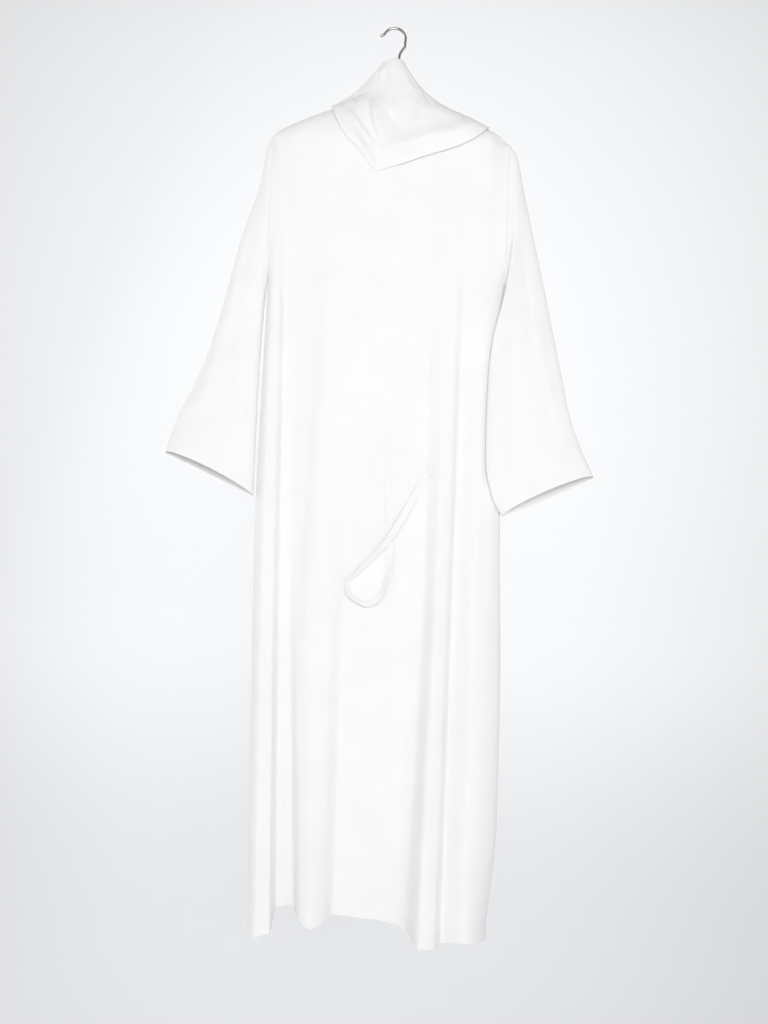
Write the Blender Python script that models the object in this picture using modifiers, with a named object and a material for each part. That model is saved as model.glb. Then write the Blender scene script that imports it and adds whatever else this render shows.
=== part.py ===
# An abaya that hangs on a hanger: two fronts, a back, wide sleeves, an attached scarf and a narrow tie.
# Metres, +Z up, +X to the right of someone who looks at the front, and -Y towards them.
# The origin is the point inside the top of the hook that rests on a rail.

import math
from bisect import bisect_right
from collections import namedtuple
from functools import lru_cache

import bmesh
import bpy
import numpy as np
from mathutils import Vector

MM = 0.001

# Cloth.
WALL = 1.6 * MM                # thickness of every cloth wall
SEAM_GAP = 0.4 * MM            # clear space between two pieces that are sewn together, 0.3 where they lean
SIDE_ROOM = 0.12 * MM          # more of it at the side edges, whose faces lean
TIP_ROOM = 0.3 * MM            # and at the tips of the shoulders, where the wall turns two ways
TIP_REACH = 14 * MM            # how far from the tip that room reaches
LIFT = 2.1 * MM                # from one cloth's middle surface to the next one's, where they touch

# Heights on the body, from the hook's inner top.
FULL_Z = -198 * MM             # the front is at its full depth from here down
UNDERARM_Z = -425 * MM
ARMHOLE_X = 199 * MM           # the armhole seams
ARMHOLE_DEPTH = 14 * MM        # half the width of the armhole, front to back
NECK_HALF = 88 * MM            # half the width of the neckline
FRONT_NECK_Z = -202 * MM
BACK_NECK_Z = -150 * MM
LEVELS = tuple(z * MM for z in (-200, -500, -820, -1150, -1500))
YOKE_ROWS = 6
SIDE_TURN = 12 * MM            # reach of the knot past each side edge, which sets how the edge turns
SIDE_FADE = 50 * MM            # height over which that turn changes from the armhole to the side seam
SHORT_COLUMN = 0.05
SHORT_ROW = 0.002
ROW_HEIGHTS = (
    -235, -300, -360, -402, -428, -450, -500, -580, -680, -780, -880, -980, -1080, -1180, -1265, -1340,
)
HEM_ROWS = 3                   # rows from the last of ROW_HEIGHTS down to the hem

# The shoulder line, as half-width and height, and the side edges, as height and half-width.
RIDGE = ((0, -106), (45, -116), (88, -134), (125, -148.5), (165, -166), (187, -178), (199, -187))
SIDE_LEFT = ((-200, 199), (-430, 199), (-600, 203), (-826, 207), (-1100, 204), (-1350, 200), (-1500, 195))
SIDE_RIGHT = (
    (-200, 199), (-430, 199), (-600, 202), (-826, 206), (-1147, 217), (-1335, 218), (-1423, 213), (-1500, 206),
)

# Every lengthwise fold of the cloth: where it runs, how far it stands out at each of LEVELS, and
# how low its hem hangs. Columns is the number of mesh columns from the fold before it.
Fold = namedtuple("Fold", "name columns x_chest x_hip x_hem chest elbow hip knee hem low")
FRONT_FOLDS = (
    Fold("side crest", 5, -190, -189, -177, 13, 17, 25, 38, 54, -1517),
    Fold("left fold edge", 2, -181, -173, -158, 15, 18, 24, 36, 52, -1513),
    Fold("left fold foot", 2, -173, -163, -149, 17, 12, 10, 8, 8, -1490),
    Fold("left recess", 2, -155, -147, -121, 20, 13, 10, 9, 9, -1485),
    Fold("second tongue edge", 2, -128, -131, -110, 21, 17, 17, 29, 44, -1489),
    Fold("second tongue", 3, -88, -97, -92, 25, 25, 28, 37, 52, -1503),
    Fold("soft fold", 2, -66, -76, -68, 26, 26, 27, 32, 40, -1499),
    Fold("left of middle", 2, -48, -52, -45, 26, 25, 22, 18, 16, -1492),
    Fold("centre front", 3, 4, 15, 12, 27, 26, 24, 19, 16, -1496),
    Fold("right of middle", 3, 50, 60, 54, 27, 25, 21, 18, 18, -1502),
    Fold("right fold foot", 2, 70, 80, 70, 27, 25, 20, 20, 24, -1510),
    Fold("third tongue", 3, 88, 103, 98, 26, 28, 31, 43, 62, -1526),
    Fold("third tongue edge", 2, 112, 120, 116, 26, 26, 27, 37, 55, -1526),
    Fold("deep right fold", 2, 130, 131, 130, 25, 20, 14, 17, 28, -1522),
    Fold("right panel", 4, 165, 163, 163, 20, 19, 24, 34, 46, -1523),
)
BACK_FOLDS = (
    Fold("left crest", 5, -165, -168, -158, 14, 16, 17, 19, 24, -1492),
    Fold("left hollow", 3, -88, -98, -92, 18, 15, 13, 13, 13, -1486),
    Fold("middle crest", 3, -25, -22, -18, 20, 18, 18, 20, 23, -1490),
    Fold("right hollow", 3, 36, 42, 48, 19, 15, 13, 13, 13, -1486),
    Fold("right crest", 2, 88, 105, 108, 18, 17, 18, 20, 24, -1491),
    Fold("side hollow", 3, 165, 168, 166, 14, 14, 13, 13, 14, -1494),
)
SIDE_LOW_LEFT, SIDE_LOW_RIGHT = -1513, -1521  # heights of the hem at the side seams

# Sleeves: the outer fold, and the inner fold of each, from the armhole to the cuff.
SLEEVE_OUTER_LEFT = (
    (200, -188), (207, -203), (212, -231), (219, -274), (231, -312), (250, -374),
    (271, -466), (300, -569), (317, -610), (346, -674), (362, -728),
)
SLEEVE_OUTER_RIGHT = (
    (200, -188), (211, -203), (219, -229), (228, -271), (240, -321), (256, -385),
    (280, -485), (302, -578), (316, -638), (337, -695), (361, -745),
)
SLEEVE_INNER_LEFT = ((200.9, -424), (204, -470), (208, -560), (210.5, -660), (211.5, -750), (212, -796))
SLEEVE_INNER_RIGHT = (
    (200.9, -424), (202, -444), (194, -476), (181, -520), (176, -580), (175, -650), (176, -722), (190, -785),
    (208, -815),
)
SLEEVE_ROWS = 13
SLEEVE_ROW_POWER = 1.25        # above 1, so that the rows lie closer together near the armhole
SLEEVE_COLUMNS = 20
CUFF_DEPTH = 19 * MM           # half the width of the cuff's mouth, front to back
CUFF_ARCH = 12 * MM            # rise of the front edge of the mouth
CUFF_DROP_LEFT, CUFF_DROP_RIGHT = 0 * MM, 4 * MM  # fall of its back edge
RIGHT_SLEEVE_FORWARD = 36 * MM  # how far the right sleeve's inner fold lies before the side seam
SWING_TOP = 0.2                # share of the sleeve's length over which it swings forward
SWING_CUFF, SWING_BACK = 0.8, 0.45  # from where it swings back again, and by what share
CUFF_FROM = 0.6                # from where the mouth's arch begins

# Scarf: the free edge in front and behind, as x and height, and the ring at the hook.
SCARF_TOP_X, SCARF_TOP_Z, SCARF_TOP_RADIUS = -2 * MM, -54 * MM, 19 * MM
SCARF_TOP_TILT = 7 * MM        # how much lower the ring lies at its left end
SCARF_LEFT, SCARF_RIGHT = -102, 165
SCARF_FRONT_EDGE = (
    (-102, -133), (-95, -155), (-86, -173), (-75, -191), (-53, -212), (-36, -235), (-23, -249), (-3, -243),
    (23, -235), (49, -225), (75, -216), (102, -207), (128, -195), (147, -182), (158, -171), (165, -163.05),
)
SCARF_BACK_EDGE = ((-102, -133), (-60, -180), (0, -200), (60, -196), (120, -179), (165, -163.05))
SCARF_SAG_RIGHT, SCARF_SAG_LEFT = 23 * MM, 10 * MM
SCARF_DEPTH_TOP, SCARF_DEPTH_LOW = 12.5 * MM, 33 * MM
SCARF_BLEND = 6                # power that blends the cone under the hook into the chest
SCARF_STAND = 1.5 * MM         # how far it stands off the chest, and how much more at its free edge
SCARF_EDGE_STAND = 3.5 * MM
SCARF_EDGE_FROM = 0.7          # share of the way down where it starts to stand off more
SCARF_OVER_SHOULDER = 3 * MM   # drop below the shoulder line by which it stands off fully
SAG_PEAK = 27 / 4              # 1 over the largest value of down * (1 - down) ** 2
SCARF_FOLD_HEIGHT = 8 * MM
SCARF_FOLD_ANGLE, SCARF_FOLD_SPREAD = 130, 45  # degrees from the right, over the front, to the highest folds
SCARF_FOLD_FRONT = 0.1         # the share of the height that is left on the right of the chest
DRAPE_WAVE = ((0.25, 0.0), (0.42, 0.1), (0.50, 1.0), (0.61, 0.15), (0.71, 0.75), (0.84, 0.15), (1.0, 0.0))
NECK_WAVE = ((0.0, 0.0), (0.10, 0.7), (0.19, 0.0), (0.30, 0.8), (0.42, 0.0), (0.62, 0.0))
NECK_WAVE_SHARE = 0.5          # height of the neck's folds against the drape's
DRAPE_START, DRAPE_START_TILT = 0.42, 0.12  # where the drape starts, and how that changes round the neck
NECK_END, NECK_END_TILT = 0.52, 0.14  # where the neck's stretch ends, under the drape
NECK_INSET = 1.6 * LIFT        # how far that end dives in
NECK_INSET_FROM, NECK_INSET_OVER = 0.22, 0.08  # how far before its end the dive starts, and its length
INSET_ASIDE, INSET_DOWN = 0.7, 0.8  # shares of the dive that go sideways and down
SCARF_COLUMNS = 32
DRAPE_ROWS = 13
NECK_ROWS = 7

# Tie: its middle line on the front, as x, height and extra lift where it crosses itself.
TIE_WIDTH = 12 * MM
TIE_STEP = 9 * MM
TIE_PATH = (
    (91, -729, 0), (62, -783, 0.5), (36, -832, 2.6), (18, -862, 2.8), (-4, -889, 1), (-30, -917, 0),
    (-47, -937, 0), (-45, -953, 0), (-30, -967, 0), (-12, -975, 0), (5, -965, 0), (15, -942, 0),
    (21, -913, 0), (22, -872, 0), (18, -811, 0), (14, -744, 0),
)

# Hanger.
HOOK_RADIUS = 18.8 * MM        # centreline of the wire
HOOK_WIRE = 2.1 * MM           # radius of the wire
HOOK_CENTRE_Z = -(HOOK_RADIUS - HOOK_WIRE)
HOOK_START, HOOK_END = math.radians(152), math.radians(-16)
HOOK_TIP = (-23.5 * MM, -12.5 * MM)
HOOK_KNEE = (18.4 * MM, -27.5 * MM)
HOOK_STEPS = 22
KNEE_SHARES = (0.2, 0.85)      # points on the way from the knee to the stem
STEM_X = 9 * MM
STEM_BEND_Z = -43 * MM
STEM_BEND_LENGTH = 4 * MM
STEM_FOOT_Z = -84 * MM
BOSS_RADIUS, BOSS_TOP_Z, BOSS_FOOT_Z = 8 * MM, -64 * MM, -125 * MM
BAR_HALF = 181 * MM            # half the width of the shoulder bar
BAR_THICK = 6 * MM             # half its thickness, front to back
BAR_TALL_MIDDLE, BAR_TALL_END = 15 * MM, 8 * MM
BAR_STATIONS = 22
BAR_SIDES = 12
BAR_END_POWER = 10             # how late the bar's ends round off
BAR_END_LEAST = 0.06           # square of the share of its section that is left there
BAR_BELOW_CLOTH = 0.85 * MM


def in_mm(table):
    return [tuple(value * MM for value in row) for row in table]


def smooth_slopes(t, p):
    """Slopes of a cubic through the values p at t that keeps every crest and hollow where it is."""
    step = np.diff(t)
    rise = np.diff(p) / step
    slopes = np.zeros(len(p))
    same = rise[:-1] * rise[1:] > 0
    inner = np.zeros(len(p) - 2)
    both = rise[:-1][same] + rise[1:][same]
    inner[same] = 2 * rise[:-1][same] * rise[1:][same] / both
    slopes[1:-1] = inner
    slopes[0], slopes[-1] = rise[0], rise[-1]
    return slopes


def smooth_value(t, p, at):
    """The value at one place of the smooth cubic through the values p at t."""
    return smooth_curve(tuple(t), tuple(p))(at)


@lru_cache(maxsize=None)
def smooth_curve(t, p):
    slopes = smooth_slopes(np.array(t), np.array(p))

    def value(at):
        at = min(max(at, t[0]), t[-1])
        k = min(bisect_right(t, at) - 1, len(t) - 2)
        return float(hermite(t, p, slopes, k, (at - t[k]) / (t[k + 1] - t[k])))

    return value


def hermite(t, p, slopes, k, f):
    step = t[k + 1] - t[k]
    start = (2 * f**3 - 3 * f**2 + 1) * p[k] + (f**3 - 2 * f**2 + f) * step * slopes[k]
    return start + (3 * f**2 - 2 * f**3) * p[k + 1] + (f**3 - f**2) * step * slopes[k + 1]


def along(points, fraction):
    """The point at a fraction of the length of a smooth curve through the given points."""
    points = np.asarray(points, float)
    t = np.concatenate([[0], np.cumsum(np.linalg.norm(np.diff(points, axis=0), axis=1))])
    return [smooth_value(t, points[:, axis], fraction * t[-1]) for axis in range(points.shape[1])]


@lru_cache(maxsize=None)
def table_curve(table):
    rows = sorted(in_mm(table))
    return smooth_curve(tuple(row[0] for row in rows), tuple(row[1] for row in rows))


def table_value(table, at):
    """Reads a table of two columns, in millimetres, at a place in metres."""
    return table_curve(table)(at)


def ease(value):
    value = min(max(value, 0.0), 1.0)
    return value * value * (3 - 2 * value)


def ridge_z(x):
    return table_value(RIDGE, min(abs(x), ARMHOLE_X))


def shoulder_share(x, z):
    """The share of its full depth that the cloth has at this height, 0 on the shoulder line."""
    ridge = ridge_z(x)
    fall = max(ridge - FULL_Z, 12 * MM)
    below = min(max((ridge - z) / fall, 0.0), 1.0)
    return math.sqrt(1 - (1 - below) ** 2)


def armhole_depth(z):
    """Half the opening of the armhole at a height, and 0 below the underarm."""
    top = ridge_z(ARMHOLE_X)
    share = min(max((top - z) / (top - UNDERARM_Z), 0.0), 1.0)
    return ARMHOLE_DEPTH * 2 * math.sqrt(share * (1 - share))


def tip_room(x, fall):
    """Extra clear space near a shoulder's tip, at a fall below the shoulder line."""
    return TIP_ROOM * ease(1 - (ARMHOLE_X - abs(x)) / TIP_REACH) * ease(1 - fall / TIP_REACH)


def side_x(sign, z):
    return sign * table_value(SIDE_LEFT if sign < 0 else SIDE_RIGHT, z)


def fold_x(fold, z):
    levels = [LEVELS[4], LEVELS[2], LEVELS[0]]
    return smooth_value(levels, [fold.x_hem * MM, fold.x_hip * MM, fold.x_chest * MM], z)


def fold_depth(fold, z):
    depths = [fold.hem, fold.knee, fold.hip, fold.elbow, fold.chest]
    return smooth_value(list(LEVELS[::-1]), [depth * MM for depth in depths], z)


@lru_cache(maxsize=None)
def section(folds, z):
    """One horizontal section of a front or back, with one knot past each end: lengths, knots and slopes."""
    depth = armhole_depth(z) + SIDE_ROOM
    left, right = side_x(-1, z), side_x(1, z)
    open_share = ease((z - UNDERARM_Z) / SIDE_FADE)
    knots = [(left, depth)]
    knots += [(fold_x(fold, z), fold_depth(fold, z)) for fold in folds]
    knots += [(right, depth)]
    ends = []
    for (x, y), sign in ((knots[0], -1), (knots[-1], 1)):
        flat = (x + sign * SIDE_TURN, y)
        round_back = (x - sign * SIDE_TURN, y - SIDE_TURN)
        ends.append([open_share * a + (1 - open_share) * b for a, b in zip(flat, round_back)])
    knots = np.array([ends[0]] + knots + [ends[1]])
    t = np.concatenate([[0], np.cumsum(np.linalg.norm(np.diff(knots, axis=0), axis=1))])
    slopes = np.stack([smooth_slopes(t, knots[:, axis]) for axis in range(2)], axis=1)
    return t, knots, slopes


def section_point(folds, z, span, f):
    """x and depth at a fraction of one span of the section; span 0 starts at the left side seam."""
    t, knots, slopes = section(folds, z)
    return hermite(t, knots, slopes, span + 1, f)


def cloth_depth(folds, x, z):
    """Depth of a front or back at a place, with the slope over the shoulder."""
    if z > ridge_z(x):
        return 0.0
    z_step = round(z / MM) * MM
    spans = range(len(folds) + 1)
    line = [section_point(folds, z_step, span, quarter / 4) for span in spans for quarter in range(4)]
    line.append(section_point(folds, z_step, len(folds), 1))
    line = np.array(line)
    return float(np.interp(x, line[:, 0], line[:, 1])) * shoulder_share(x, z)


def top_z(x, neck_z):
    """Height of a panel's upper edge: the shoulder line, and the round neckline between."""
    if abs(x) >= NECK_HALF:
        return ridge_z(x)
    share = 1 - (x / NECK_HALF) ** 2
    return ridge_z(NECK_HALF) + (neck_z - ridge_z(NECK_HALF)) * share


def panel_columns(folds, first_span, last_span):
    """(span, fraction) of each mesh column. A short column squares the edge by a side seam or neck corner."""
    columns = []
    for span in range(first_span, last_span):
        count = folds[span].columns if span < len(folds) else folds[0].columns
        fractions = [i / count for i in range(count)]
        if span == 0 or folds[span - 1].x_chest * MM == -NECK_HALF:
            fractions.insert(1, SHORT_COLUMN)
        if span == len(folds) or folds[span].x_chest * MM == NECK_HALF:
            fractions.append(1 - SHORT_COLUMN)
        columns += [(span, f) for f in fractions]
    columns.append((last_span - 1, 1.0))
    return columns


def panel_rows():
    """Rows as (part, value): a share of the yoke's height, a height, or a share of the way to the hem."""
    yoke = [0.0, SHORT_ROW] + [1 - math.cos(math.pi / 2 * i / YOKE_ROWS) for i in range(1, YOKE_ROWS)]
    rows = [("yoke", share) for share in yoke]
    rows += [("body", z * MM) for z in ROW_HEIGHTS]
    return rows + [("hem", i / HEM_ROWS) for i in range(1, HEM_ROWS + 1)]


def low_z(folds, span, f):
    lows = [SIDE_LOW_LEFT] + [fold.low for fold in folds] + [SIDE_LOW_RIGHT]
    return (lows[span] + (lows[span + 1] - lows[span]) * ease(f)) * MM


def panel_point(folds, sign, neck_z, column, row):
    """A point of a panel's middle surface. Sign is -1 for a front and +1 for the back."""
    span, f = column
    part, value = row
    x_top = section_point(folds, LEVELS[0], span, f)[0]
    start = top_z(x_top, neck_z)
    last = ROW_HEIGHTS[-1] * MM
    if part == "yoke":
        z = start + (ROW_HEIGHTS[0] * MM - start) * value
    elif part == "body":
        z = value
    else:
        z = last + (low_z(folds, span, f) - last) * value
    x, depth = section_point(folds, z, span, f)
    share = shoulder_share(x_top, z)
    near_side = 0.0
    if span == 0:
        near_side = 1 - f
    if span == len(folds):
        near_side = f
    depth *= max(share, 1e-6) ** (1 - near_side)
    depth += tip_room(x_top, start - z)
    return Vector((x, sign * (SEAM_GAP / 2 + depth), z))


def grid_object(name, columns, rows, place, material, wall=WALL, closed=False):
    """An open sheet through place(column, row), or a tube where closed is set, with a wall round it."""
    bm = bmesh.new()
    bmesh.ops.create_grid(bm, x_segments=columns, y_segments=rows, size=0.5)
    for vert in bm.verts:
        column = round((vert.co.x + 0.5) * columns)
        row = round((vert.co.y + 0.5) * rows)
        vert.co = place(column, row)
    if closed:
        bmesh.ops.remove_doubles(bm, verts=bm.verts, dist=1e-6)
    mesh = bpy.data.meshes.new(name)
    bm.to_mesh(mesh)
    bm.free()
    obj = add_object(name, mesh, material)
    solidify = obj.modifiers.new("Wall", "SOLIDIFY")
    solidify.thickness = wall
    solidify.offset = 0
    solidify.use_even_offset = True
    return obj


def add_object(name, mesh, material):
    mesh.materials.append(material)
    mesh.shade_smooth()
    mesh.set_sharp_from_angle(angle=math.radians(50))
    obj = bpy.data.objects.new(name, mesh)
    parts.objects.link(obj)
    return obj


def make_panel(name, folds, sign, neck_z, first_span, last_span):
    columns = panel_columns(folds, first_span, last_span)
    rows = panel_rows()
    centre_end = {0: 1, len(columns) - 1: -1}

    def place(column, row):
        point = panel_point(folds, sign, neck_z, columns[column], rows[row])
        span, f = columns[column]
        at_side = (span, f) in ((0, 0.0), (len(folds), 1.0))
        if column in centre_end and not at_side:
            point.x += centre_end[column] * SEAM_GAP / 2
        return point

    return grid_object(name, len(columns) - 1, len(rows) - 1, place, cloth)


def make_sleeve(name, sign, outer_line, inner_line, forward, drop):
    outer, inner = in_mm(outer_line), in_mm(inner_line)

    def place(column, row):
        down = (row / SLEEVE_ROWS) ** SLEEVE_ROW_POWER
        angle = 2 * math.pi * (column % SLEEVE_COLUMNS) / SLEEVE_COLUMNS
        across = (1 - math.cos(angle)) / 2
        (x_out, z_out), (x_in, z_in) = along(outer, down), along(inner, down)
        half = ARMHOLE_DEPTH + (CUFF_DEPTH - ARMHOLE_DEPTH) * down
        side = math.sin(angle)
        swing = ease(down / SWING_TOP) * (1 - SWING_BACK * ease((down - SWING_CUFF) / (1 - SWING_CUFF)))
        y = -half * side - forward * swing * across**1.5
        z = z_out + (z_in - z_out) * across
        z += ease((down - CUFF_FROM) / (1 - CUFF_FROM)) * (CUFF_ARCH if side > 0 else drop) * side
        return Vector((sign * (x_out + (x_in - x_out) * across), y, z))

    return grid_object(name, SLEEVE_COLUMNS, SLEEVE_ROWS, place, cloth, closed=True)


def scarf_point(angle, down, wave, inset):
    """A point of the scarf: angle runs from the right, over the front, to the left and round the back."""
    across, forward = math.cos(angle), math.sin(angle)
    edge = SCARF_FRONT_EDGE if forward >= 0 else SCARF_BACK_EDGE
    edge_x = ((SCARF_RIGHT + SCARF_LEFT) / 2 + (SCARF_RIGHT - SCARF_LEFT) / 2 * across) * MM
    edge_z = table_value(edge, edge_x)
    top_x = SCARF_TOP_X + SCARF_TOP_RADIUS * across
    x = top_x + (edge_x - top_x) * down
    sag_right = SCARF_SAG_RIGHT * max(across, 0) ** 2 * SAG_PEAK * down * (1 - down) ** 2
    sag_left = SCARF_SAG_LEFT * max(-across, 0) ** 2 * math.sin(math.pi * down)
    top_end = SCARF_TOP_Z - SCARF_TOP_TILT * max(-across, 0)
    z = top_end + (edge_z - top_end) * down - sag_right - sag_left
    cone = (SCARF_DEPTH_TOP + (SCARF_DEPTH_LOW - SCARF_DEPTH_TOP) * down**0.7) * abs(forward)
    folds = FRONT_FOLDS if forward >= 0 else BACK_FOLDS
    lifted = z - LIFT - SCARF_STAND
    clear = min(max((ridge_z(x) - lifted) / SCARF_OVER_SHOULDER, 0.0), 1.0)
    edge_share = ease((down - SCARF_EDGE_FROM) / (1 - SCARF_EDGE_FROM)) * max(forward, 0)
    stand = LIFT + SCARF_STAND + SCARF_EDGE_STAND * edge_share
    below = cloth_depth(folds, x, lifted) + stand * clear
    depth = (cone**SCARF_BLEND + below**SCARF_BLEND) ** (1 / SCARF_BLEND)
    left_front = math.exp(-(((math.degrees(angle) - SCARF_FOLD_ANGLE) / SCARF_FOLD_SPREAD) ** 2))
    depth += SCARF_FOLD_HEIGHT * wave * (left_front + SCARF_FOLD_FRONT * max(forward, 0))
    depth -= inset * abs(forward)
    x -= inset * INSET_ASIDE * across
    z -= inset * INSET_DOWN * abs(across)
    return Vector((x, -math.copysign(depth, forward), z))


def make_drape():
    def place(column, row):
        angle = 2 * math.pi * (column % SCARF_COLUMNS) / SCARF_COLUMNS
        start = DRAPE_START - DRAPE_START_TILT * math.cos(angle)
        down = start + (1 - start) * row / DRAPE_ROWS
        return scarf_point(angle, down, smooth_value(*zip(*DRAPE_WAVE), down), 0)

    return grid_object("scarf_drape", SCARF_COLUMNS, DRAPE_ROWS, place, cloth, closed=True)


def make_neck():
    def place(column, row):
        angle = 2 * math.pi * (column % SCARF_COLUMNS) / SCARF_COLUMNS
        end = NECK_END - NECK_END_TILT * math.cos(angle)
        down = end * row / NECK_ROWS
        inset = NECK_INSET * ease((down - end + NECK_INSET_FROM) / NECK_INSET_OVER)
        return scarf_point(angle, down, NECK_WAVE_SHARE * smooth_value(*zip(*NECK_WAVE), down), inset)

    return grid_object("scarf_neck", SCARF_COLUMNS, NECK_ROWS, place, cloth, closed=True)


def make_tie():
    """A flat band whose middle line lies on the front, moved out by its lift."""
    path = in_mm(TIE_PATH)
    length = sum(math.dist(a[:2], b[:2]) for a, b in zip(path, path[1:]))
    count = round(length / TIE_STEP)

    def on_front(x, z, lift):
        return Vector((x, -(cloth_depth(FRONT_FOLDS, x, z) + LIFT + 2 * SEAM_GAP + lift), z))

    def place(column, row):
        x, z, lift = along(path, row / count)
        before = along(path, max(row - 0.5, 0) / count)
        after = along(path, min(row + 0.5, count) / count)
        way = Vector((after[0] - before[0], after[1] - before[1])).normalized()
        offset = (column / 2 - 0.5) * TIE_WIDTH
        return on_front(x - way.y * offset, z + way.x * offset, lift)

    return grid_object("tie", 2, count, place, cloth)


def make_hook():
    """The wire from its tip over the top and down the stem, as one round curve."""
    points = [HOOK_TIP]
    for i in range(HOOK_STEPS + 1):
        angle = HOOK_START + (HOOK_END - HOOK_START) * i / HOOK_STEPS
        points.append((HOOK_RADIUS * math.cos(angle), HOOK_CENTRE_Z + HOOK_RADIUS * math.sin(angle)))
    points.append(HOOK_KNEE)
    bend = Vector(HOOK_KNEE)
    foot = Vector((STEM_X, STEM_BEND_Z))
    points += [tuple(bend.lerp(foot, share)) for share in KNEE_SHARES]
    points += [(STEM_X, STEM_BEND_Z - STEM_BEND_LENGTH), (STEM_X, STEM_FOOT_Z)]
    curve = bpy.data.curves.new("hanger_hook", "CURVE")
    curve.dimensions = "3D"
    curve.bevel_depth = HOOK_WIRE
    curve.bevel_resolution = 3
    curve.use_fill_caps = True
    spline = curve.splines.new("POLY")
    spline.points.add(len(points) - 1)
    for point, (x, z) in zip(spline.points, points):
        point.co = (x, 0, z, 1)
    curve.materials.append(chrome)
    hook = bpy.data.objects.new("hanger_hook", curve)
    parts.objects.link(hook)
    return hook


def make_bar():
    """The shoulder bar: a rounded section lofted along the shoulder line, with a bored boss at the middle."""
    turns = [math.tau * i / BAR_SIDES for i in range(BAR_SIDES)]
    bm = bmesh.new()
    rings = []
    for i in range(BAR_STATIONS + 1):
        share = -1 + 2 * i / BAR_STATIONS
        x = BAR_HALF * share
        end = math.sqrt(max(1 - abs(share) ** BAR_END_POWER, BAR_END_LEAST))
        tall = (BAR_TALL_MIDDLE + (BAR_TALL_END - BAR_TALL_MIDDLE) * abs(share)) * end
        thick = BAR_THICK * end
        middle = ridge_z(x) - WALL / 2 - BAR_BELOW_CLOTH - tall
        rings.append([bm.verts.new((x, thick * math.cos(a), middle + tall * math.sin(a))) for a in turns])
    for ring, after in zip(rings, rings[1:]):
        for k in range(BAR_SIDES):
            bm.faces.new((ring[k - 1], ring[k], after[k], after[k - 1]))
    bm.faces.new(rings[0])
    bm.faces.new(rings[-1])
    bmesh.ops.recalc_face_normals(bm, faces=bm.faces)
    mesh = bpy.data.meshes.new("hanger_body")
    bm.to_mesh(mesh)
    bm.free()
    bar = add_object("hanger_body", mesh, plastic)
    middle_z = (BOSS_TOP_Z + BOSS_FOOT_Z) / 2
    boss = add_cylinder("boss", BOSS_RADIUS, BOSS_TOP_Z - BOSS_FOOT_Z, middle_z)
    bore = add_cylinder("bore", HOOK_WIRE + SEAM_GAP, 2 * (BOSS_TOP_Z - STEM_FOOT_Z + SEAM_GAP), BOSS_TOP_Z)
    for cutter, operation in ((boss, "UNION"), (bore, "DIFFERENCE")):
        boolean = bar.modifiers.new(operation.title(), "BOOLEAN")
        boolean.operation = operation
        boolean.object = cutter
    return bar


def add_cylinder(name, radius, height, z):
    bm = bmesh.new()
    bmesh.ops.create_cone(bm, cap_ends=True, segments=24, radius1=radius, radius2=radius, depth=height)
    mesh = bpy.data.meshes.new(name)
    bm.to_mesh(mesh)
    bm.free()
    obj = bpy.data.objects.new(name, mesh)
    obj.location = (STEM_X, 0, z)
    obj.hide_render = True
    obj.display_type = "WIRE"
    cutters.objects.link(obj)
    return obj


def make_material(name, colour, roughness, metallic=0.0):
    material = bpy.data.materials.new(name)
    material.use_nodes = True
    shader = material.node_tree.nodes["Principled BSDF"]
    shader.inputs["Base Color"].default_value = (*colour, 1)
    shader.inputs["Roughness"].default_value = roughness
    shader.inputs["Metallic"].default_value = metallic
    return material


for old in list(bpy.data.objects):
    bpy.data.objects.remove(old, do_unlink=True)

parts = bpy.data.collections.new("abaya_on_hanger")
cutters = bpy.data.collections.new("cutters")
for collection in (parts, cutters):
    bpy.context.scene.collection.children.link(collection)

cloth = make_material("white_crepe", (0.87, 0.87, 0.86), 0.85)
chrome = make_material("chrome", (0.75, 0.76, 0.78), 0.15, 1.0)
plastic = make_material("white_plastic", (0.8, 0.8, 0.79), 0.4)

centre_span = 1 + [fold.name for fold in FRONT_FOLDS].index("centre front")
make_panel("front_left", FRONT_FOLDS, -1, FRONT_NECK_Z, 0, centre_span)
make_panel("front_right", FRONT_FOLDS, -1, FRONT_NECK_Z, centre_span, len(FRONT_FOLDS) + 1)
make_panel("back", BACK_FOLDS, 1, BACK_NECK_Z, 0, len(BACK_FOLDS) + 1)
make_sleeve("sleeve_left", -1, SLEEVE_OUTER_LEFT, SLEEVE_INNER_LEFT, 0, CUFF_DROP_LEFT)
make_sleeve("sleeve_right", 1, SLEEVE_OUTER_RIGHT, SLEEVE_INNER_RIGHT, RIGHT_SLEEVE_FORWARD, CUFF_DROP_RIGHT)
make_drape()
make_neck()
make_tie()
make_hook()
make_bar()
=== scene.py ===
# A white crepe abaya on its hanger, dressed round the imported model.
# The garment's sizes are millimetres in the model's own frame: x to the viewer's right, z up from
# the inside of the hook, and a depth is how far the cloth stands out from the hanger's plane.
# The looks and the studio are in metres.

import math
from collections import namedtuple

import bpy
import numpy as np
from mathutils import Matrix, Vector, noise
from mathutils.bvhtree import BVHTree


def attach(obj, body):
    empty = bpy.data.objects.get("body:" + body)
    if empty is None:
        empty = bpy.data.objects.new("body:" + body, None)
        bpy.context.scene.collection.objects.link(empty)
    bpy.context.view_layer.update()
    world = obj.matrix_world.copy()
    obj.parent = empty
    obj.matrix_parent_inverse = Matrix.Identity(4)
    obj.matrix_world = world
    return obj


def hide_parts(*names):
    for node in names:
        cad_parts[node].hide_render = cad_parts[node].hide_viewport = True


mm = 0.001

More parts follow.
